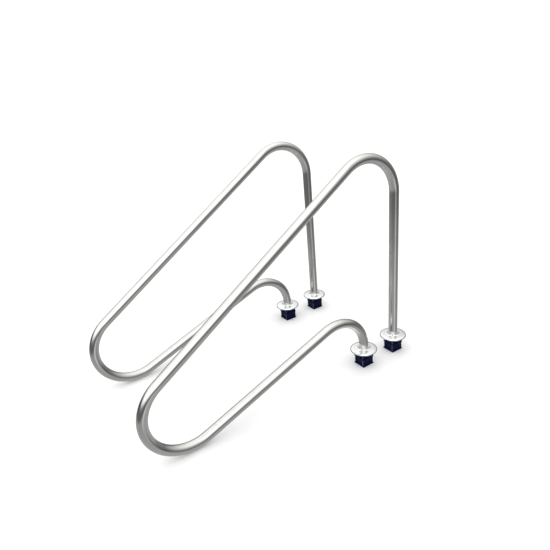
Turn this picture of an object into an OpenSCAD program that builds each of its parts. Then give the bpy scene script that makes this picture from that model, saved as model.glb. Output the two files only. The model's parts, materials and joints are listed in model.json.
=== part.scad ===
// Pair of bent tube handrails for pool steps, each standing in two deck anchors.
// Millimetres. Deck surface is z = 0, +Z is up, the water is towards -X.
// Origin: deck surface, midway between the four anchors.

/* [Rail tube] */
// Outside diameter of the rail tube
tube_d = 43; // [38:1:46]
// Wall of the rail tube
tube_wall = 1.5; // [1:0.1:3]
// Radius of the top bend and of the lower bend, to the tube's centre line
bend_r = 175; // [150:5:200]
// Radius of the small arch over the front anchor
arch_r = 165; // [100:5:180]
// Height above the deck at which the top bend begins
rear_leg_h = 718; // [700:1:900]
// Fall of the long hand grip, in degrees below level
slope_deg = 33; // [28:0.5:34]
// Straight length of the long hand grip
slope_l = 1095; // [700:5:1200]
// Rise of the return tube towards the deck, in degrees
return_deg = 20; // [20:0.5:30]
// Distance between the front and rear legs of one rail
leg_gap = 195; // [150:5:260]
// Distance between the two rails
rail_gap = 624; // [450:2:900]
// Straight run past the lower bend before the tube joint
joint_run = 48; // [20:1:80]
// Gap left at the tube joint
joint_gap = 0.4; // [0.1:0.1:1]
// Length of the sleeve inside the joint
sleeve_l = 90; // [40:1:120]

/* [Deck anchors] */
// Height of an anchor below the deck surface
anchor_h = 75; // [70:1:100]
// Side of the square flanges of an anchor
plate_w = 64; // [64:1:90]
// Side of the anchor's body between the flanges
core_w = 56; // [56:1:60]
// Thickness of a flange
plate_t = 5; // [3:0.5:8]
// Depth of the mid flange's upper face below the deck
mid_plate_z = 32; // [20:1:45]
// Thickness of the socket's floor
floor_t = 5; // [3:0.5:10]
// Radius of the drain hole in the socket's floor
drain_r = 8; // [4:0.5:12]

/* [Wedge lock] */
// Distance of the wedge bolt from the tube's axis
bolt_off = 27.5; // [27:0.5:28.5]
// Thread radius of the wedge bolt
bolt_r = 2.5; // [2:0.5:4]
// Length of the wedge
wedge_l = 30; // [20:1:34]
// Depth of the wedge's top below the deck at rest
wedge_top = 28; // [24:1:34]

/* [Escutcheons] */
// Outside diameter of an escutcheon
cover_d = 126; // [110:1:150]
// Height of the collar above the deck
collar_h = 18; // [17:1:25]
// Outside radius of the collar
collar_r = 27; // [25:0.5:32]
// Sheet thickness of the dished cover
cover_t = 1.6; // [1:0.1:3]
// Turn of the grub screw towards -Y from straight ahead, in degrees
grub_turn = 40; // [0:5:80]

/* [Hidden] */
$fn = 96;
fit = 0.05;
tube_r = tube_d / 2;
bore_r = tube_r + fit;
sleeve_r = tube_r - tube_wall - fit;
socket_z = -(anchor_h - floor_t);
rear_x = leg_gap / 2;
front_x = -leg_gap / 2;
rail_y = rail_gap / 2;
diag = bolt_off / sqrt(2);
// centre line of one rail in its own plane, rear leg at [0, 0]
top_c = [-bend_r, rear_leg_h];
slope_a = [top_c[0] - bend_r * sin(slope_deg), top_c[1] + bend_r * cos(slope_deg)];
slope_b = slope_a - slope_l * [cos(slope_deg), sin(slope_deg)];
low_c = slope_b + bend_r * [sin(slope_deg), -cos(slope_deg)];
return_a = low_c + bend_r * [sin(return_deg), -cos(return_deg)];
arch_cx = -leg_gap - arch_r;
return_bx = arch_cx - arch_r * sin(return_deg);
return_l = (return_bx - return_a[0]) / cos(return_deg);
return_b = return_a + return_l * [cos(return_deg), sin(return_deg)];
arch_c = return_b + arch_r * [sin(return_deg), -cos(return_deg)];
joint_p = return_a + joint_run * [cos(return_deg), sin(return_deg)];
low_sweep = 180 + return_deg - slope_deg;
arch_sweep = 90 + return_deg;

// every piece of the pair

steel = [0.72, 0.73, 0.73];
bright = [0.86, 0.87, 0.88];
navy = [0.05, 0.07, 0.20];
brass = [0.72, 0.58, 0.28];

// ---------- tube pieces ----------

// how far a bend laps over the straight tube at each end, in degrees, and how much its wall
// is swollen on each face, so that bend and straight make one solid
lap = 0.4;
swell = 0.08;

// tube along +Z with its ends at 0 and l, then the rest of the run from its far end
module go(l) {
  difference() {
    cylinder(r = tube_r, h = l);
    translate([0, 0, -1]) cylinder(r = tube_r - tube_wall, h = l + 2);
  }
  translate([0, 0, l]) children();
}

// tube that bends from +Z towards -X, then the rest of the run from its far end
module turn(bend_radius, sweep) {
  translate([-bend_radius, 0, 0]) {
    rotate([90, 0, 0])
      rotate([0, 0, -lap])
        rotate_extrude(angle = sweep + 2 * lap)
          translate([bend_radius, 0])
            difference() {
              circle(r = tube_r + swell);
              circle(r = tube_r - tube_wall - swell);
            }
    rotate([0, -sweep, 0])
      translate([bend_radius, 0, 0]) children();
  }
}

// back leg, top bend, grip, lower loop and the start of the return
module handrail_tube() {
  translate([0, 0, socket_z])
    go(rear_leg_h - socket_z)
      turn(bend_r, 90 + slope_deg)
        go(slope_l)
          turn(bend_r, low_sweep)
            go(joint_run - joint_gap / 2);
}

// front leg, arch and return, from the leg's foot to the joint
module return_tube() {
  translate([-leg_gap, 0, socket_z])
    go(arch_c[1] - socket_z)
      turn(arch_r, arch_sweep)
        go(return_l - joint_run - joint_gap / 2);
}

module joint_sleeve() {
  translate([joint_p[0], 0, joint_p[1]])
    rotate([0, 90 - return_deg, 0])
      difference() {
        cylinder(r = sleeve_r, h = sleeve_l, center = true);
        cylinder(r = sleeve_r - tube_wall, h = sleeve_l + 2, center = true);
      }
}

// ---------- anchor pieces, tube axis at the origin ----------

pocket_top = -22;
pocket_r_top = 6.05;
pocket_taper = 0.014;
roof_z = -9;
head_bore_r = 5.2;
bond_z = -54;
bond_r = 2.5;
rib_t = 5;
bond_face = core_w / 2 - 3;
lug_t = 2;

function pocket_r(z) = pocket_r_top + pocket_taper * (pocket_top - z);

module plate(z, w, t) {
  translate([0, 0, z - t / 2])
    difference() {
      cube([w, w, t], center = true);
      for (a = [0, 90, 180, 270])
        rotate([0, 0, a + 45])
          translate([w / sqrt(2) + 3, 0, 0])
            cube([12, 20, t + 2], center = true);
    }
}

module anchor() {
  difference() {
    union() {
      plate(0, plate_w, plate_t);
      plate(-mid_plate_z, plate_w, plate_t);
      plate(-anchor_h + plate_t, plate_w, plate_t);
      translate([0, 0, -anchor_h / 2]) cube([core_w, core_w, anchor_h - 2], center = true);
      for (sy = [-1, 1])
        translate([0, sy * (core_w - rib_t) / 2, -anchor_h / 2])
          cube([plate_w - 1, rib_t, anchor_h - 2], center = true);
    }
    translate([0, 0, socket_z]) cylinder(r = bore_r, h = anchor_h);
    translate([0, 0, -anchor_h - 1]) cylinder(r = drain_r, h = anchor_h);
    translate([diag, diag, -anchor_h - 1])
      cylinder(
        r1 = pocket_r(-anchor_h - 1),
        r2 = pocket_r(pocket_top),
        h = anchor_h + 1 + pocket_top
      );
    translate([diag, diag, -anchor_h]) cylinder(r = bolt_r + 0.3, h = anchor_h);
    translate([diag, diag, roof_z]) cylinder(r = head_bore_r, h = 20);
    translate([0, 0, bond_z]) rotate([0, 90, 0]) cylinder(r = bond_r + fit, h = 60);
    translate([bond_face, -7.5, bond_z - 7.5]) cube([20, 23, 15]);
  }
}

module wedge() {
  z0 = -wedge_top - wedge_l;
  difference() {
    translate([diag, diag, z0])
      cylinder(r1 = pocket_r(z0) - fit, r2 = pocket_r(-wedge_top) - fit, h = wedge_l);
    translate([0, 0, z0 - 1]) cylinder(r = bore_r, h = wedge_l + 2);
    translate([diag, diag, z0 - 1]) cylinder(r = bolt_r + fit, h = wedge_l + 2);
  }
}

module wedge_bolt() {
  difference() {
    union() {
      translate([diag, diag, roof_z + 1]) cylinder(r = 4.25, h = 5);
      translate([diag, diag, -wedge_top - wedge_l - 2])
        cylinder(r = bolt_r, h = wedge_top + wedge_l + 2 + roof_z + 2);
    }
    translate([diag, diag, roof_z + 3.2]) cylinder(r = 2.3, h = 4, $fn = 6);
  }
}

module bolt_washer() {
  translate([diag, diag, roof_z])
    difference() {
      cylinder(r = 5, h = 1);
      translate([0, 0, -1]) cylinder(r = bolt_r + fit, h = 3);
    }
}

module bonding_screw() {
  translate([0, 0, bond_z])
    rotate([0, 90, 0])
      difference() {
        union() {
          translate([0, 0, bore_r + fit]) cylinder(r = bond_r, h = bond_face + lug_t - bore_r);
          translate([0, 0, bond_face + lug_t]) cylinder(r = 4.25, h = 4);
        }
        translate([0, 0, bond_face + lug_t + 2]) cylinder(r = 2.3, h = 4, $fn = 6);
      }
}

module bonding_lug() {
  translate([bond_face, 0, bond_z])
    rotate([0, 90, 0])
      difference() {
        union() {
          cylinder(r = 6, h = lug_t);
          translate([-6, 0, 0]) cube([12, 14, lug_t]);
        }
        translate([0, 0, -1]) cylinder(r = bond_r + fit, h = lug_t + 2);
        translate([0, 10, -1]) cylinder(r = 2, h = lug_t + 2);
      }
}

// ---------- escutcheon pieces ----------

cover_r = cover_d / 2;
grub_z = 14.2;
grub_r = 2;

// outer line of the dish from its rim to the collar
dish = [
  [cover_r, 0], [cover_r, 3.2], [cover_r - 0.7, 5.4], [cover_r - 2.4, 7.2],
  [cover_r - 5, 8.4], [cover_r - 9, 9.3], [cover_r - 18, 10.3], [collar_r + 5, 11],
  [collar_r + 1.6, 11.6], [collar_r + 0.4, 12.6]
];
// the same line one sheet thickness further in
dish_in = [
  [collar_r + 1, 11 - cover_t], [cover_r - 18.2, 10.3 - cover_t],
  [cover_r - 9.4, 9.3 - cover_t], [cover_r - 5.8, 8.4 - cover_t],
  [cover_r - 3.4, 7.2 - cover_t], [cover_r - cover_t - 0.6, 4.6], [cover_r - cover_t, 2.8],
  [cover_r - cover_t, 0]
];

module escutcheon() {
  difference() {
    rotate_extrude()
      polygon(concat(
        dish,
        [[collar_r, 14], [collar_r, collar_h - 1], [collar_r - 1, collar_h],
         [tube_r + 0.7, collar_h], [bore_r + 0.03, collar_h - 0.7], [bore_r + 0.03, 7],
         [collar_r - 1, 7]],
        dish_in
      ));
    translate([0, 0, grub_z])
      rotate([0, -90, grub_turn]) cylinder(r = grub_r + fit, h = 40);
  }
}

module grub_screw() {
  translate([0, 0, grub_z])
    rotate([0, -90, grub_turn])
      difference() {
        translate([0, 0, bore_r + 0.05]) cylinder(r = grub_r, h = collar_r - bore_r - 0.8);
        translate([0, 0, collar_r - 2.6]) cylinder(r = 1.15, h = 4, $fn = 6);
      }
}

// ---------- places ----------

module on_left() { translate([rear_x, -rail_y, 0]) children(); }
module on_right() { translate([rear_x, rail_y, 0]) children(); }
module at_left_rear() { translate([rear_x, -rail_y, 0]) children(); }
module at_left_front() { translate([front_x, -rail_y, 0]) children(); }
module on_right_rear() { translate([rear_x, rail_y, 0]) children(); }
module on_right_front() { translate([front_x, rail_y, 0]) children(); }
module at_right_rear() { translate([rear_x, rail_y, 0]) mirror([0, 1, 0]) children(); }
module at_right_front() { translate([front_x, rail_y, 0]) mirror([0, 1, 0]) children(); }

// ---------- one module per piece ----------

module left_handrail_tube() { color(steel) on_left() handrail_tube(); }
module left_return_tube() { color(steel) on_left() return_tube(); }
module left_joint_sleeve() { color(steel) on_left() joint_sleeve(); }
module right_handrail_tube() { color(steel) on_right() handrail_tube(); }
module right_return_tube() { color(steel) on_right() return_tube(); }
module right_joint_sleeve() { color(steel) on_right() joint_sleeve(); }

module left_rear_anchor() { color(navy) at_left_rear() anchor(); }
module left_rear_wedge() { color(steel) at_left_rear() wedge(); }
module left_rear_wedge_bolt() { color(bright) at_left_rear() wedge_bolt(); }
module left_rear_bolt_washer() { color(bright) at_left_rear() bolt_washer(); }
module left_rear_bonding_screw() { color(bright) at_left_rear() bonding_screw(); }
module left_rear_bonding_lug() { color(brass) at_left_rear() bonding_lug(); }
module left_rear_escutcheon() { color(bright) at_left_rear() escutcheon(); }
module left_rear_grub_screw() { color(steel) at_left_rear() grub_screw(); }

module left_front_anchor() { color(navy) at_left_front() anchor(); }
module left_front_wedge() { color(steel) at_left_front() wedge(); }
module left_front_wedge_bolt() { color(bright) at_left_front() wedge_bolt(); }
module left_front_bolt_washer() { color(bright) at_left_front() bolt_washer(); }
module left_front_bonding_screw() { color(bright) at_left_front() bonding_screw(); }
module left_front_bonding_lug() { color(brass) at_left_front() bonding_lug(); }
module left_front_escutcheon() { color(bright) at_left_front() escutcheon(); }
module left_front_grub_screw() { color(steel) at_left_front() grub_screw(); }

module right_rear_anchor() { color(navy) at_right_rear() anchor(); }
module right_rear_wedge() { color(steel) at_right_rear() wedge(); }
module right_rear_wedge_bolt() { color(bright) at_right_rear() wedge_bolt(); }
module right_rear_bolt_washer() { color(bright) at_right_rear() bolt_washer(); }
module right_rear_bonding_screw() { color(bright) at_right_rear() bonding_screw(); }
module right_rear_bonding_lug() { color(brass) at_right_rear() bonding_lug(); }
module right_rear_escutcheon() { color(bright) on_right_rear() escutcheon(); }
module right_rear_grub_screw() { color(steel) on_right_rear() grub_screw(); }

module right_front_anchor() { color(navy) at_right_front() anchor(); }
module right_front_wedge() { color(steel) at_right_front() wedge(); }
module right_front_wedge_bolt() { color(bright) at_right_front() wedge_bolt(); }
module right_front_bolt_washer() { color(bright) at_right_front() bolt_washer(); }
module right_front_bonding_screw() { color(bright) at_right_front() bonding_screw(); }
module right_front_bonding_lug() { color(brass) at_right_front() bonding_lug(); }
module right_front_escutcheon() { color(bright) on_right_front() escutcheon(); }
module right_front_grub_screw() { color(steel) on_right_front() grub_screw(); }

// ---------- show one piece or all ----------

left_handrail_tube();
left_return_tube();
left_joint_sleeve();
right_handrail_tube();
right_return_tube();
right_joint_sleeve();
left_rear_anchor();
left_rear_wedge();
left_rear_wedge_bolt();
left_rear_bolt_washer();
left_rear_bonding_screw();
left_rear_bonding_lug();
left_rear_escutcheon();
left_rear_grub_screw();
left_front_anchor();
left_front_wedge();
left_front_wedge_bolt();
left_front_bolt_washer();
left_front_bonding_screw();
left_front_bonding_lug();
left_front_escutcheon();
left_front_grub_screw();
right_rear_anchor();
right_rear_wedge();
right_rear_wedge_bolt();
right_rear_bolt_washer();
right_rear_bonding_screw();
right_rear_bonding_lug();
right_rear_escutcheon();
right_rear_grub_screw();
right_front_anchor();
right_front_wedge();
right_front_wedge_bolt();
right_front_bolt_washer();
right_front_bonding_screw();
right_front_bonding_lug();
right_front_escutcheon();
right_front_grub_screw();
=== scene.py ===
"""A pair of bent tube handrails for pool steps, on four deck anchors, in a white studio."""

import json
import math

import bmesh
import bpy
from mathutils import Matrix, Vector


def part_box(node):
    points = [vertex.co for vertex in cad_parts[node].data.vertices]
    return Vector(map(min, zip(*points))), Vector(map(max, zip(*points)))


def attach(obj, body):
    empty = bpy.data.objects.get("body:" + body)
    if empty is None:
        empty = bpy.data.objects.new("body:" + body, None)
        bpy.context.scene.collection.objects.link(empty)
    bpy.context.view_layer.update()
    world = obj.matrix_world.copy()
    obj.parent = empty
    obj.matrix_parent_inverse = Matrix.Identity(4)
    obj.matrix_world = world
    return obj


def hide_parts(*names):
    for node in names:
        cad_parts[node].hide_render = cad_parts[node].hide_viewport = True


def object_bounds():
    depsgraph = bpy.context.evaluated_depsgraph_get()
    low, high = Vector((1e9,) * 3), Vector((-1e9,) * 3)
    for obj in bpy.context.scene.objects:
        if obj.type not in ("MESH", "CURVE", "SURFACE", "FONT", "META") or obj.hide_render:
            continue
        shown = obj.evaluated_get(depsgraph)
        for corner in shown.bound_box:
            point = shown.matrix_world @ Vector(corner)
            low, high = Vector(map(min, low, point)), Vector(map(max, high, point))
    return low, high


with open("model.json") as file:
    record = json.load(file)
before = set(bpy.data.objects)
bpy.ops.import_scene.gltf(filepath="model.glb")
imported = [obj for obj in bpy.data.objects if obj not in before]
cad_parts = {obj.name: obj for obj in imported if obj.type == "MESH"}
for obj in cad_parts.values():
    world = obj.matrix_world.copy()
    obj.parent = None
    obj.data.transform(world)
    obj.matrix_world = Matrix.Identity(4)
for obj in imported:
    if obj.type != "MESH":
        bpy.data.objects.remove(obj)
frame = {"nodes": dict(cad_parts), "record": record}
cad_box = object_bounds()

SIDES = ("left", "right")
PLACES = ("rear", "front")

# ---------- sizes, in metres ----------

tube_low, tube_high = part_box("left_handrail_tube")
SWELL = 0.00008  # how much thicker the CAD's bends are than the tube
TUBE_R = (tube_high[1] - tube_low[1]) / 2 - SWELL
TUBE_WALL = 0.0015
LEG_GAP = 0.195  # between the front and rear legs of a rail
SOCKET = 0.070  # how deep a leg stands in its anchor
REAR_LEG_H = 0.718  # deck to the start of the top bend
BEND_R = 0.175  # top bend and lower loop
ARCH_R = 0.165
SLOPE = math.radians(33)
SLOPE_L = 1.095
RETURN = math.radians(20)
JOINT_RUN = 0.048  # from the lower loop to the tube joint
JOINT_GAP = 0.0004
COLLAR_R = 0.027
COLLAR_H = 0.018


def centre(node):
    """The middle of a CAD node's box."""
    low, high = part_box(node)
    return (Vector(low) + Vector(high)) / 2


def leg_axis(side, place):
    """Where a leg's axis meets the deck."""
    middle = centre(f"{side}_{place}_anchor")
    return Vector((middle.x, middle.y, 0))


# ---------- camera, floor and light ----------

scene = bpy.context.scene
scene.view_settings.view_transform = "Standard"

CAMERA_AT = Vector((-1.4748, -1.7894, 1.2877))
CAMERA_AZIMUTH = math.radians(31.98)  # from +Y towards +X
CAMERA_DOWN = math.radians(23.49)
CAMERA_ROLL = math.radians(-5.47)
SENSOR = 36.0
LENS = 32.14


def add_camera():
    """The camera at the viewing angle of the reference."""
    data = bpy.data.cameras.new("camera")
    data.sensor_width = SENSOR
    data.lens = LENS
    data.clip_start = 0.01
    data.clip_end = 60
    camera = bpy.data.objects.new("camera", data)
    scene.collection.objects.link(camera)
    turn = (
        Matrix.Rotation(-CAMERA_AZIMUTH, 4, "Z")
        @ Matrix.Rotation(math.pi / 2 - CAMERA_DOWN, 4, "X")
        @ Matrix.Rotation(CAMERA_ROLL, 4, "Z")
    )
    camera.matrix_world = Matrix.Translation(CAMERA_AT) @ turn
    scene.camera = camera


def add_area(name, at, to, size, power):
    """A soft white rectangular light at one point, facing another, that reflections don't show."""
    data = bpy.data.lights.new(name, "AREA")
    data.shape = "RECTANGLE"
    data.size, data.size_y = size
    data.energy = power
    light = bpy.data.objects.new(name, data)
    scene.collection.objects.link(light)
    facing = (Vector(to) - Vector(at)).to_track_quat("-Z", "Y").to_matrix().to_4x4()
    light.matrix_world = Matrix.Translation(at) @ facing
    light.visible_glossy = False


class Nodes:
    """Short names for building a node tree."""

    def __init__(self, tree):
        self.tree = tree
        tree.nodes.clear()

    def add(self, kind, **settings):
        node = self.tree.nodes.new(kind)
        for key, value in settings.items():
            setattr(node, key, value)
        return node

    def link(self, source, target):
        self.tree.links.new(source, target)

    def ramp(self, source, stops):
        """A colour ramp with the given (position, colour) stops."""
        node = self.add("ShaderNodeValToRGB")
        elements = node.color_ramp.elements
        elements.remove(elements[-1])
        elements[0].position = stops[0][0]
        elements[0].color = (*stops[0][1], 1)
        for place, colour in stops[1:]:
            elements.new(place).color = (*colour, 1)
        self.link(source, node.inputs["Fac"])
        return node.outputs["Color"]

    def noise(self, vector, scale, detail=3.0, rough=0.55):
        """A noise texture's factor."""
        node = self.add("ShaderNodeTexNoise")
        node.inputs["Scale"].default_value = scale
        node.inputs["Detail"].default_value = detail
        node.inputs["Roughness"].default_value = rough
        self.link(vector, node.inputs["Vector"])
        return node.outputs["Fac"]

    def scaled(self, vector, scale):
        """Texture coordinates stretched by a factor along each axis."""
        node = self.add("ShaderNodeMapping")
        node.inputs["Scale"].default_value = scale
        self.link(vector, node.inputs["Vector"])
        return node.outputs["Vector"]

    def spread(self, source, low, high, start=0.0, stop=1.0):
        """A factor moved into a range."""
        node = self.add("ShaderNodeMapRange")
        node.inputs["From Min"].default_value = start
        node.inputs["From Max"].default_value = stop
        node.inputs["To Min"].default_value = low
        node.inputs["To Max"].default_value = high
        self.link(source, node.inputs["Value"])
        return node.outputs["Result"]

    def maths(self, operation, first, second):
        """Two factors, or a factor and a number, worked into one."""
        node = self.add("ShaderNodeMath", operation=operation)
        for socket, value in zip(node.inputs, (first, second)):
            if isinstance(value, (int, float)):
                socket.default_value = value
            else:
                self.link(value, socket)
        return node.outputs["Value"]

    def bump(self, height, strength, distance):
        """A surface normal from a height."""
        node = self.add("ShaderNodeBump")
        node.inputs["Strength"].default_value = strength
        node.inputs["Distance"].default_value = distance
        self.link(height, node.inputs["Height"])
        return node.outputs["Normal"]


def lookout(azimuth, elevation):
    """A direction from degrees: azimuth from +Y towards +X, elevation above the horizon."""
    turn, rise = math.radians(azimuth), math.radians(elevation)
    return (math.sin(turn) * math.cos(rise), math.cos(turn) * math.cos(rise), math.sin(rise))


BRIGHTEST = 1.7  # what a tone of 1 in a wall stands for

# What reflections show: brightness by elevation in degrees, in three parts of the horizon.
# The stops are set for the light and dark lines on the tubes.
FAR_WALL = [
    (-90, 0.42), (-36, 0.42), (-22, 0.36), (-13, 0.19), (4, 0.19), (14, 0.40),
    (25, 0.58), (35, 0.80), (45, 1.04), (65, 1.35), (90, 1.65),
]
NEAR_WALL = [
    (-90, 0.46), (-32, 0.36), (-24, 0.36), (-17, 0.14), (-4, 0.14), (4, 0.30),
    (14, 1.10), (24, 1.60), (60, 1.70), (90, 1.65),
]
BACK_WALL = [
    (-90, 0.46), (-24, 0.42), (-14, 0.16), (6, 0.03), (14, 0.42), (23, 1.00),
    (40, 1.14), (65, 1.26), (90, 1.65),
]
# Regions of that room: azimuth, elevation, angle of the outer edge, angle of the full core.
NEAR_PART = (244, 0, 76, 46)
BACK_PART = (342, 0, 74, 42)
OPENING = (138, -24, 18, 9)  # a dark opening to the right
OPENING_DARK = 0.16
STRIP = (188, -24, 15, 8)  # a narrow light strip in front
STRIP_BRIGHT = 0.34
ROOM_LIGHT = 1.28  # found by trial: at 1 the tubes came out darker than these walls
EVEN_LIGHT = 1.12  # what diffuse surfaces get
BACKDROP = 1.6  # what the camera sees


def add_world():
    """White to the camera, even light for diffuse surfaces, and a studio for reflections to show."""
    world = bpy.data.worlds.new("studio")
    scene.world = world
    world.use_nodes = True
    n = Nodes(world.node_tree)
    direction = n.add("ShaderNodeTexCoord").outputs["Generated"]
    split = n.add("ShaderNodeSeparateXYZ")
    n.link(direction, split.inputs["Vector"])
    rise = n.spread(n.maths("ARCSINE", split.outputs["Z"], 0), 0, 1, -math.pi / 2, math.pi / 2)
    flat = n.add("ShaderNodeVectorMath", operation="MULTIPLY")
    flat.inputs[1].default_value = (1, 1, 0)
    n.link(direction, flat.inputs[0])
    level = n.add("ShaderNodeVectorMath", operation="NORMALIZE")
    n.link(flat.outputs["Vector"], level.inputs[0])

    def wall(stops):
        """Brightness from the elevation."""
        greys = [((angle + 90) / 180, (tone / BRIGHTEST,) * 3) for angle, tone in stops]
        return n.maths("MULTIPLY", n.ramp(rise, greys), BRIGHTEST)

    def towards(vector, region):
        """1 within a region's core, 0 outside its edge."""
        azimuth, elevation, edge, core = region
        near = n.add("ShaderNodeVectorMath", operation="DOT_PRODUCT")
        near.inputs[1].default_value = lookout(azimuth, elevation)
        n.link(vector, near.inputs[0])
        return n.spread(
            near.outputs["Value"], 0, 1, math.cos(math.radians(edge)), math.cos(math.radians(core))
        )

    def mixed(first, second, share):
        """The first brightness turned into the second by a share."""
        change = n.maths("MULTIPLY", n.maths("SUBTRACT", second, first), share)
        return n.maths("ADD", first, change)

    flat_way = level.outputs["Vector"]
    room = mixed(wall(FAR_WALL), wall(NEAR_WALL), towards(flat_way, NEAR_PART))
    room = mixed(room, wall(BACK_WALL), towards(flat_way, BACK_PART))
    opening = n.maths("MULTIPLY", towards(direction, OPENING), OPENING_DARK)
    room = n.maths("SUBTRACT", room, opening)
    strip = n.maths("MULTIPLY", towards(direction, STRIP), STRIP_BRIGHT)
    room = n.maths("ADD", room, strip)
    room = n.maths("MULTIPLY", room, ROOM_LIGHT)

    light = n.add("ShaderNodeLightPath")
    shown = mixed(EVEN_LIGHT, room, light.outputs["Is Glossy Ray"])
    shown = mixed(shown, BACKDROP, light.outputs["Is Camera Ray"])
    back = n.add("ShaderNodeBackground")
    back.inputs["Color"].default_value = (1, 1, 1, 1)
    n.link(shown, back.inputs["Strength"])
    out = n.add("ShaderNodeOutputWorld")
    n.link(back.outputs[0], out.inputs["Surface"])


FLOOR_HALF = 14.0
FLOOR_DROP = 0.0003  # below the lowest point of the object


def add_floor():
    """A pale floor that the anchors and loops stand on."""
    half = FLOOR_HALF
    z = cad_box[0][2] - FLOOR_DROP
    mesh = bpy.data.meshes.new("floor")
    corners = [(-half, -half, z), (half, -half, z), (half, half, z), (-half, half, z)]
    mesh.from_pydata(corners, [], [(0, 1, 2, 3)])
    floor = bpy.data.objects.new("floor", mesh)
    scene.collection.objects.link(floor)
    material = bpy.data.materials.new("floor")
    material.use_nodes = True
    n = Nodes(material.node_tree)
    shine = n.add("ShaderNodeBsdfDiffuse")
    seen = n.add("ShaderNodeLightPath").outputs["Is Camera Ray"]
    tone = n.ramp(seen, [(0.0, (0.50, 0.50, 0.50)), (1.0, (0.99, 0.99, 0.99))])
    n.link(tone, shine.inputs["Color"])
    out = n.add("ShaderNodeOutputMaterial")
    n.link(shine.outputs[0], out.inputs["Surface"])
    mesh.materials.append(material)
    floor.visible_glossy = False


add_camera()
add_world()
add_floor()
add_area("key", (-1.6, -0.6, 3.4), (-0.4, 0, 0), (2.6, 2.6), 14)
add_area("side", (-3.4, 1.6, 1.5), (-0.4, 0, 0.3), (1.2, 2.4), 6)
add_area("back", (2.4, 2.2, 2.4), (-0.2, 0, 0.3), (2.0, 2.0), 6)


# ---------- materials ----------


def material(name, metallic, roughness, colour):
    """A new material, its node helper and its Principled shader, joined to the output."""
    made = bpy.data.materials.new(name)
    made.use_nodes = True
    n = Nodes(made.node_tree)
    shader = n.add("ShaderNodeBsdfPrincipled")
    shader.inputs["Metallic"].default_value = metallic
    shader.inputs["Roughness"].default_value = roughness
    shader.inputs["Base Color"].default_value = (*colour, 1)
    out = n.add("ShaderNodeOutputMaterial")
    n.link(shader.outputs[0], out.inputs["Surface"])
    return made, n, shader


def satin_tube():
    """Ground stainless tube: fine scratches round the tube, with faint handling marks."""
    made, n, shader = material("satin_tube", 1.0, 0.22, (0.60, 0.60, 0.58))
    coords = n.add("ShaderNodeTexCoord")
    along = n.scaled(coords.outputs["UV"], (6, 900, 1))
    grain = n.noise(along, 1.0, 4.0, 0.65)
    streak = n.noise(n.scaled(coords.outputs["UV"], (160, 2.5, 1)), 1.0, 2.0)
    marks = n.noise(coords.outputs["Object"], 7.0, 5.0, 0.6)
    tone = n.maths("ADD", n.maths("MULTIPLY", grain, 0.35), n.maths("MULTIPLY", marks, 0.65))
    colour = n.ramp(tone, [(0.30, (0.53, 0.53, 0.51)), (0.70, (0.64, 0.64, 0.625))])
    n.link(colour, shader.inputs["Base Color"])
    worn = n.maths("ADD", n.maths("MULTIPLY", grain, 0.6), n.maths("MULTIPLY", marks, 0.4))
    n.link(n.spread(worn, 0.10, 0.16, 0.3, 0.7), shader.inputs["Roughness"])
    height = n.maths("ADD", grain, n.maths("MULTIPLY", streak, 0.15))
    n.link(n.bump(height, 0.06, 0.0004), shader.inputs["Normal"])
    return made


def mirror_sheet():
    """Polished stainless sheet with very fine polishing rings."""
    made, n, shader = material("mirror_sheet", 1.0, 0.05, (0.72, 0.725, 0.73))
    coords = n.add("ShaderNodeTexCoord")
    rings = n.noise(n.scaled(coords.outputs["UV"], (3, 260, 1)), 1.0, 3.0)
    smears = n.noise(coords.outputs["Object"], 22.0, 4.0)
    n.link(n.spread(smears, 0.03, 0.10, 0.35, 0.7), shader.inputs["Roughness"])
    tone = n.ramp(smears, [(0.3, (0.69, 0.695, 0.70)), (0.7, (0.75, 0.755, 0.76))])
    n.link(tone, shader.inputs["Base Color"])
    n.link(n.bump(rings, 0.05, 0.0002), shader.inputs["Normal"])
    return made


def navy_plastic(name="navy_plastic", dull=(0.0009, 0.0021, 0.025), pale=(0.0018, 0.0038, 0.042)):
    """Moulded dark navy plastic with a fine eggshell texture and a dusty bloom."""
    made, n, shader = material(name, 0.0, 0.42, dull)
    shader.inputs["Specular IOR Level"].default_value = 0.10
    coords = n.add("ShaderNodeTexCoord")
    fine = n.noise(coords.outputs["Object"], 1400.0, 2.0)
    bloom = n.noise(coords.outputs["Object"], 45.0, 5.0, 0.6)
    n.link(n.ramp(bloom, [(0.35, dull), (0.75, pale)]), shader.inputs["Base Color"])
    n.link(n.spread(bloom, 0.34, 0.52, 0.3, 0.7), shader.inputs["Roughness"])
    n.link(n.bump(fine, 0.15, 0.0001), shader.inputs["Normal"])
    return made


def plain_steel():
    """Stainless screws, washers and wedges: turned and slightly dull."""
    made, n, shader = material("plain_steel", 1.0, 0.32, (0.52, 0.53, 0.54))
    coords = n.add("ShaderNodeTexCoord")
    turned = n.noise(n.scaled(coords.outputs["Object"], (120, 120, 2600)), 1.0, 3.0)
    n.link(n.spread(turned, 0.24, 0.42, 0.3, 0.7), shader.inputs["Roughness"])
    tone = n.ramp(turned, [(0.3, (0.44, 0.45, 0.46)), (0.7, (0.58, 0.59, 0.60))])
    n.link(tone, shader.inputs["Base Color"])
    n.link(n.bump(turned, 0.12, 0.0001), shader.inputs["Normal"])
    return made


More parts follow.
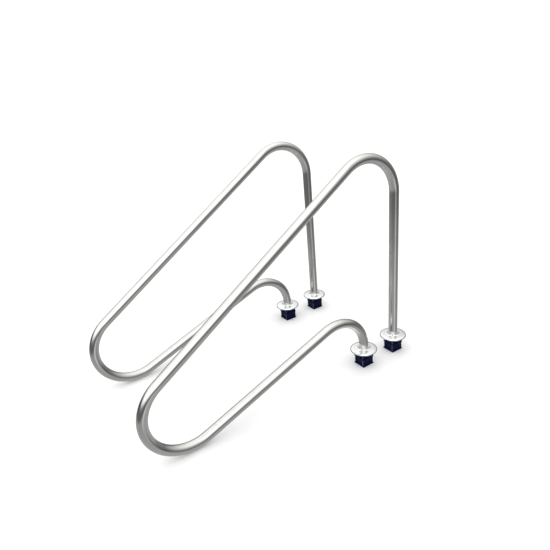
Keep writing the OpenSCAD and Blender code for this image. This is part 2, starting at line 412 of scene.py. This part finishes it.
def plain_brass():
    """Stamped brass lug, lightly tarnished."""
    made, n, shader = material("plain_brass", 1.0, 0.35, (0.72, 0.53, 0.25))
    coords = n.add("ShaderNodeTexCoord")
    tarnish = n.noise(coords.outputs["Object"], 260.0, 5.0, 0.6)
    tone = n.ramp(tarnish, [(0.3, (0.50, 0.36, 0.17)), (0.65, (0.76, 0.57, 0.28))])
    n.link(tone, shader.inputs["Base Color"])
    n.link(n.spread(tarnish, 0.48, 0.28, 0.3, 0.7), shader.inputs["Roughness"])
    n.link(n.bump(tarnish, 0.08, 0.0001), shader.inputs["Normal"])
    return made


TUBE = satin_tube()
MIRROR = mirror_sheet()
NAVY = navy_plastic()
# A paler copy of the navy plastic: a painted highlight for the light that the teeth's outer faces
# catch.
NAVY_PAINTED_HIGHLIGHT = navy_plastic("navy_painted_highlight", (0.11, 0.13, 0.23), (0.20, 0.23, 0.34))
STEEL = plain_steel()
BRASS = plain_brass()


# ---------- making pieces ----------


def add_piece(name, mesh, look, body, stands_for):
    """Puts a mesh in the scene as a piece that rides on a body and replaces a CAD node."""
    if not mesh.materials:
        mesh.materials.append(None)
    mesh.materials[0] = look
    piece = bpy.data.objects.new(name, mesh)
    scene.collection.objects.link(piece)
    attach(piece, body)
    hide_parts(stands_for)


def lofted(name, rings, uvs):
    """A mesh from rings of points, the last joined to the first. uvs has each ring's distance."""
    count = len(rings[0])
    points = [point for ring in rings for point in ring]
    faces, coords = [], []
    for i in range(len(rings)):
        j = (i + 1) % len(rings)
        for k in range(count):
            m = (k + 1) % count
            faces.append((i * count + k, i * count + m, j * count + m, j * count + k))
            u0, u1 = k / count, (k + 1) / count
            v0 = uvs[i]
            v1 = uvs[i + 1] if i + 1 < len(uvs) else uvs[i]
            coords += [(u0, v0), (u1, v0), (u1, v1), (u0, v1)]
    mesh = bpy.data.meshes.new(name)
    mesh.from_pydata(points, [], faces)
    layer = mesh.uv_layers.new(name="UVMap")
    for loop, uv in zip(layer.data, coords):
        loop.uv = uv
    mesh.update()
    return mesh


def smooth(mesh, angle):
    """Smooth shading, with edges sharper than the angle left hard."""
    for polygon in mesh.polygons:
        polygon.use_smooth = True
    mesh.set_sharp_from_angle(angle=math.radians(angle))


# ---------- rail tubes ----------

TUBE_SIDES = 72
BEND_STEP = math.radians(2)
STRAIGHT_STEPS = 12
EDGE = 0.0004  # rounding of a cut tube end


def walk(start, heading, moves):
    """Points along a run in the rail's plane: [(x, z, heading, distance)]. Bends turn to the left."""
    x, z = start
    run = [(x, z, heading, 0.0)]
    for length, radius, sweep in moves:
        steps = max(1, round(sweep / BEND_STEP)) if sweep else STRAIGHT_STEPS
        for _ in range(steps):
            x, z, heading, gone = run[-1]
            if sweep:
                part = sweep / steps
                chord = 2 * radius * math.sin(part / 2)
                middle = heading + part / 2
                x, z = x + chord * math.cos(middle), z + chord * math.sin(middle)
                run.append((x, z, heading + part, gone + radius * part))
            else:
                part = length / steps
                x, z = x + part * math.cos(heading), z + part * math.sin(heading)
                run.append((x, z, heading, gone + part))
    return run


def straight(length):
    return (length, 0, 0)


def bend(radius, sweep):
    return (0, radius, sweep)


def end_stations(station, ahead):
    """The two stations that round a cut end. ahead is 1 at the start of a run, -1 at its end."""
    x, z, heading, gone = station
    made = []
    for shift, radius in ((0, TUBE_R - EDGE), (ahead * EDGE, TUBE_R)):
        at_x, at_z = x + shift * math.cos(heading), z + shift * math.sin(heading)
        made.append((at_x, at_z, heading, gone + shift, radius))
    return made


def tube_mesh(name, run, x0, y0):
    """A hollow tube with rounded cut ends along a run."""
    outer = [(*station, TUBE_R) for station in run[1:-1]]
    outer = end_stations(run[0], 1) + outer + end_stations(run[-1], -1)[::-1]
    inner = [(*station, TUBE_R - TUBE_WALL) for station in reversed(run)]
    sideways = Vector((0, 1, 0))
    rings, uvs = [], []
    for x, z, heading, gone, radius in outer + inner:
        across = Vector((-math.sin(heading), 0, math.cos(heading)))
        middle = Vector((x + x0, y0, z))
        ring = []
        for k in range(TUBE_SIDES):
            turn = 2 * math.pi * k / TUBE_SIDES
            ring.append(middle + radius * (math.cos(turn) * across + math.sin(turn) * sideways))
        rings.append(ring)
        uvs.append(gone)
    mesh = lofted(name, rings, uvs)
    smooth(mesh, 40)
    return mesh


def return_run(handrail):
    """The front leg, arch and return, up to the joint with the handrail tube's end."""
    end_x, end_z, heading, _ = handrail[-1]
    joint = (end_x + JOINT_GAP * math.cos(heading), end_z + JOINT_GAP * math.sin(heading))
    far = -LEG_GAP - ARCH_R - ARCH_R * math.sin(RETURN)
    length = (far - joint[0]) / math.cos(RETURN)
    top = joint[1] + length * math.sin(RETURN)
    arch_z = top - ARCH_R * math.cos(RETURN)
    moves = [straight(arch_z + SOCKET), bend(ARCH_R, math.pi / 2 + RETURN), straight(length)]
    return walk((-LEG_GAP, -SOCKET), math.pi / 2, moves)


for side in SIDES:
    foot = leg_axis(side, "rear")
    handrail = walk((0, -SOCKET), math.pi / 2, [
        straight(REAR_LEG_H + SOCKET),
        bend(BEND_R, math.pi / 2 + SLOPE),
        straight(SLOPE_L),
        bend(BEND_R, math.pi - SLOPE + RETURN),
        straight(JOINT_RUN - JOINT_GAP / 2),
    ])
    for part, run in (("handrail_tube", handrail), ("return_tube", return_run(handrail))):
        mesh = tube_mesh(f"{side}_{part}_skin", run, foot.x, foot.y)
        add_piece(mesh.name, mesh, TUBE, f"{side}_rail", f"{side}_{part}")


# ---------- escutcheons ----------

COVER_SIDES = 128
GRUB_Z = 0.0142  # height of the grub screw's hole
GRUB_TURN = math.radians(40)  # from -X towards -Y
GRUB_HOLE_R = 0.0021
PAST = 0.004  # how far the hole's cutter reaches past the collar


def rounded_line(points, cuts=6):
    """A smooth line through given points (Catmull-Rom)."""
    line = []
    ends = [points[0]] + points + [points[-1]]
    for a, b, c, d in zip(ends, ends[1:], ends[2:], ends[3:]):
        for step in range(cuts):
            t = step / cuts
            line.append(tuple(
                0.5 * (2 * q + (r - p) * t + (2 * p - 5 * q + 4 * r - s) * t * t
                       + (3 * q - p - 3 * r + s) * t ** 3)
                for p, q, r, s in zip(a, b, c, d)
            ))
    return line + [points[-1]]


def cover_profile(rim):
    """Radius and height round the dished cover, from the collar's bore over the top to the inside."""
    mm = 0.001
    top = rounded_line([
        (COLLAR_R - 1.2 * mm, COLLAR_H), (COLLAR_R - 0.35 * mm, COLLAR_H - 0.35 * mm),
        (COLLAR_R, COLLAR_H - 1.2 * mm), (COLLAR_R, 14.6 * mm), (COLLAR_R + 0.9 * mm, 12.9 * mm),
        (COLLAR_R + 3.4 * mm, 11.6 * mm), (COLLAR_R + 9 * mm, 10.7 * mm), (rim - 18 * mm, 10.3 * mm),
        (rim - 9 * mm, 9.3 * mm), (rim - 5 * mm, 8.3 * mm), (rim - 2.2 * mm, 6.9 * mm),
        (rim - 0.6 * mm, 5.0 * mm), (rim, 3.0 * mm), (rim, 0.4 * mm),
    ])
    under = rounded_line([
        (rim - 0.4 * mm, 0), (rim - 1.2 * mm, 0), (rim - 1.6 * mm, 0.4 * mm),
        (rim - 1.7 * mm, 2.6 * mm), (rim - 2.6 * mm, 4.6 * mm), (rim - 4.4 * mm, 6.0 * mm),
        (rim - 9.4 * mm, 7.6 * mm), (rim - 18 * mm, 8.6 * mm), (COLLAR_R + 3 * mm, 9.2 * mm),
        (COLLAR_R - 1 * mm, 9.0 * mm), (COLLAR_R - 1 * mm, 7.0 * mm),
    ])
    bore = TUBE_R + 0.1 * mm
    inside = [(bore + 0.5 * mm, 7.0 * mm), (bore, 7.4 * mm), (bore, COLLAR_H - 0.8 * mm),
              (bore + 0.8 * mm, COLLAR_H)]
    return top + under + inside


def cover_mesh(name, at, rim):
    """A cover plate turned round a leg's axis, with a cross hole for its grub screw."""
    rings, uvs, gone, before = [], [], 0.0, None
    for radius, height in cover_profile(rim):
        if before:
            gone += math.dist(before, (radius, height))
        before = (radius, height)
        ring = []
        for k in range(COVER_SIDES):
            turn = 2 * math.pi * k / COVER_SIDES
            x, y = at.x + radius * math.cos(turn), at.y + radius * math.sin(turn)
            ring.append(Vector((x, y, height)))
        rings.append(ring[::-1])
        uvs.append(gone)
    plate = bpy.data.objects.new("plate", lofted("turned", rings, uvs))
    scene.collection.objects.link(plate)
    hole = rod_object(0, 0, TUBE_R, COLLAR_R + PAST, GRUB_HOLE_R, GRUB_HOLE_R, 40)
    turn = Matrix.Rotation(GRUB_TURN, 4, "Z") @ Matrix.Rotation(-math.pi / 2, 4, "Y")
    hole.data.transform(Matrix.Translation((at.x, at.y, GRUB_Z)) @ turn)
    mesh = worked(plate, [("DIFFERENCE", hole)])
    mesh.name = name
    smooth(mesh, 50)
    return mesh


# ---------- anchors ----------

PLATE_T = 0.005
MID_PLATE_Z = 0.032
CORE = 0.056
RIB_T = 0.005
RIB_IN = 0.0012  # from the anchor's top and bottom to an end rib
RIB_REACH = 0.0315  # from the anchor's axis to a tooth of an end rib
TOOTH_PITCH = 0.009
TOOTH_DEEP = 0.0016
LUG_FACE = CORE / 2 - 0.003
LUG_Z = -0.054
LUG_RECESS = (0.0075, 0.0155)  # its reach to either side of the lug's middle
DRAIN_R = 0.008
SOCKET_FIT = 0.00005  # between the tube and its socket
WEDGE_OFF = 0.0275 / math.sqrt(2)
POCKET_TOP = -0.022
POCKET_R = (0.0068, 0.00605)  # at the bottom and at the top
BOLT_HOLE_R = 0.0028
HEAD_BORE_R = 0.0052
HEAD_BORE_Z = -0.009
GUSSET_OFF = 0.0085  # from the middle of a side face
GUSSET_T = 0.0016
GUSSET_BACK = 0.0022  # how far a gusset stays behind the flanges' edge
LAP = 0.001  # how far a joined part reaches into its neighbour
BEVEL = 0.0004


def add_box(bm, low, high):
    """A box between two corners."""
    middle = [(a + b) / 2 for a, b in zip(low, high)]
    size = [b - a for a, b in zip(low, high)]
    place = Matrix.Translation(middle) @ Matrix.Diagonal((*size, 1))
    bmesh.ops.create_cube(bm, size=1, matrix=place)


def box_object(low, high):
    """A box for joining or cutting."""
    bm = bmesh.new()
    add_box(bm, low, high)
    return tool_object(bm)


def rod_object(x, y, low, high, radius_low, radius_high, sides):
    """An upright round tool for cutting."""
    bm = bmesh.new()
    place = Matrix.Translation((x, y, (low + high) / 2))
    bmesh.ops.create_cone(
        bm, cap_ends=True, segments=sides, radius1=radius_low, radius2=radius_high,
        depth=high - low, matrix=place,
    )
    return tool_object(bm)


def tool_object(bm):
    """An object made from a bmesh, which is freed."""
    mesh = bpy.data.meshes.new("tool")
    bm.to_mesh(mesh)
    bm.free()
    tool = bpy.data.objects.new("tool", mesh)
    scene.collection.objects.link(tool)
    return tool


def worked(base, tools):
    """Applies a list of (operation, tool) booleans to an object and returns its mesh."""
    for operation, tool in tools:
        cut = base.modifiers.new(operation, "BOOLEAN")
        cut.operation = operation
        cut.solver = "EXACT"
        cut.object = tool
    graph = bpy.context.evaluated_depsgraph_get()
    mesh = bpy.data.meshes.new_from_object(base.evaluated_get(graph))
    for used in [base] + [tool for _, tool in tools]:
        bpy.data.objects.remove(used, do_unlink=True)
    return mesh


def end_rib(side_x, side_y, low, high):
    """A full-height rib at one edge of an end face, with shallow teeth down its outer face."""
    outline = [(0.02, low), (RIB_REACH, low)]
    z = low + TOOTH_PITCH / 2
    while z + TOOTH_PITCH / 2 < high:
        for rise, depth in ((0, 0), (0.0008, TOOTH_DEEP), (0.0030, TOOTH_DEEP), (0.0038, 0)):
            outline.append((RIB_REACH - depth, z + rise))
        z += TOOTH_PITCH
    outline += [(RIB_REACH, high), (0.02, high)]
    inner, outer = CORE / 2 - RIB_T, CORE / 2
    bm = bmesh.new()
    walls = []
    for y in (inner, outer):
        walls.append([bm.verts.new((side_x * x, side_y * y, z)) for x, z in outline])
    bm.faces.new(walls[0])
    bm.faces.new(walls[1][::-1])
    for k in range(len(outline)):
        m = (k + 1) % len(outline)
        bm.faces.new((walls[0][m], walls[0][k], walls[1][k], walls[1][m]))
    bmesh.ops.recalc_face_normals(bm, faces=bm.faces)
    return tool_object(bm)


def anchor_mesh():
    """The anchor body round the origin: flanges, core, ribs, socket, drain and wedge pocket."""
    low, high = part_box("left_rear_anchor")
    deep = -low[2]
    flange = (high[0] - low[0]) / 2
    half = CORE / 2
    parts = [box_object((-half, -half, -deep + LAP), (half, half, -LAP))]
    for side_x in (-1, 1):
        for side_y in (-1, 1):
            parts.append(end_rib(side_x, side_y, -deep + RIB_IN, -RIB_IN))
    for top in (0, -MID_PLATE_Z, -deep + PLATE_T):
        parts.append(box_object((-flange, -flange, top - PLATE_T), (flange, flange, top)))
    # gusset ribs that stiffen the flanges on the side faces
    for quarter in (1, 3):
        for off in (-GUSSET_OFF, GUSSET_OFF):
            for under, over in ((-MID_PLATE_Z, -PLATE_T), (-deep + PLATE_T, -MID_PLATE_Z - PLATE_T)):
                parts.append(rib_object(quarter, off, half, flange, under, over))
    base, joined = parts[0], [("UNION", part) for part in parts[1:]]
    bore = TUBE_R + SOCKET_FIT
    before, beyond = LUG_RECESS
    cuts = [
        rod_object(0, 0, -SOCKET, 0.01, bore, bore, 96),
        rod_object(0, 0, -deep - 0.01, 0, DRAIN_R, DRAIN_R, 48),
        rod_object(WEDGE_OFF, WEDGE_OFF, -deep, POCKET_TOP, *POCKET_R, 48),
        rod_object(WEDGE_OFF, WEDGE_OFF, -0.03, 0, BOLT_HOLE_R, BOLT_HOLE_R, 32),
        rod_object(WEDGE_OFF, WEDGE_OFF, HEAD_BORE_Z, 0.01, HEAD_BORE_R, HEAD_BORE_R, 40),
        box_object((LUG_FACE, -before, LUG_Z - before), (0.04, beyond, LUG_Z + before)),
    ]
    return worked(base, joined + [("DIFFERENCE", tool) for tool in cuts])


def paint_teeth_highlight(mesh):
    """Gives the outer faces of the end ribs' teeth the paler plastic, a painted highlight."""
    for polygon in mesh.polygons:
        across = abs(polygon.center.x) > RIB_REACH - BEVEL and abs(polygon.normal.x) > 0.7
        within = CORE / 2 - RIB_T < abs(polygon.center.y) < CORE / 2
        on_rib = abs(polygon.center.x) < RIB_REACH + BEVEL / 2
        polygon.material_index = int(across and within and on_rib)


def rib_object(quarter, off, start, stop, low, high):
    """A thin upright rib between two flanges, on one of the four faces."""
    side = GUSSET_T / 2
    bm = bmesh.new()
    add_box(bm, (start - LAP, off - side, low - LAP), (stop - GUSSET_BACK, off + side, high + LAP))
    bmesh.ops.rotate(bm, verts=bm.verts, matrix=Matrix.Rotation(quarter * math.pi / 2, 3, "Z"))
    return tool_object(bm)


def softened(mesh, width):
    """Rounds the sharp edges of a mesh so that they catch the light."""
    piece = bpy.data.objects.new("soften", mesh)
    scene.collection.objects.link(piece)
    bevel = piece.modifiers.new("bevel", "BEVEL")
    bevel.width = width
    bevel.segments = 2
    bevel.limit_method = "ANGLE"
    bevel.angle_limit = math.radians(40)
    bevel.use_clamp_overlap = True
    graph = bpy.context.evaluated_depsgraph_get()
    made = bpy.data.meshes.new_from_object(piece.evaluated_get(graph))
    bpy.data.objects.remove(piece, do_unlink=True)
    return made


anchor_shape = softened(anchor_mesh(), BEVEL)
paint_teeth_highlight(anchor_shape)
cover_low, cover_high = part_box("left_rear_escutcheon")
RIM = (cover_high[0] - cover_low[0]) / 2

for side in SIDES:
    for place in PLACES:
        at = leg_axis(side, place)
        where = f"{side}_{place}"
        cover = cover_mesh(f"{where}_cover", at, RIM)
        plate = f"{where}_escutcheon"
        add_piece(cover.name, cover, MIRROR, plate, plate)
        body = anchor_shape.copy()
        flip = Matrix.Diagonal((1, 1 if side == "left" else -1, 1, 1))
        body.transform(Matrix.Translation(at) @ flip)
        if side == "right":
            body.flip_normals()
        smooth(body, 35)
        body.name = f"{where}_anchor_body"
        add_piece(body.name, body, NAVY, "anchors", f"{where}_anchor")
        # The second slot is the paler plastic that paints a highlight on the teeth.
        body.materials.append(NAVY_PAINTED_HIGHLIGHT)

# ---------- CAD pieces that keep their shape ----------

LOOKS = {
    "inner_steel": STEEL, "fastener_steel": STEEL, "lug_brass": BRASS,
    "tube_steel": TUBE, "polished_steel": MIRROR, "anchor_plastic": NAVY,
}
for entry in frame["record"]["subparts"]:
    for slot in frame["nodes"][entry["node"]].material_slots:
        slot.material = LOOKS[entry["material_slot"]]
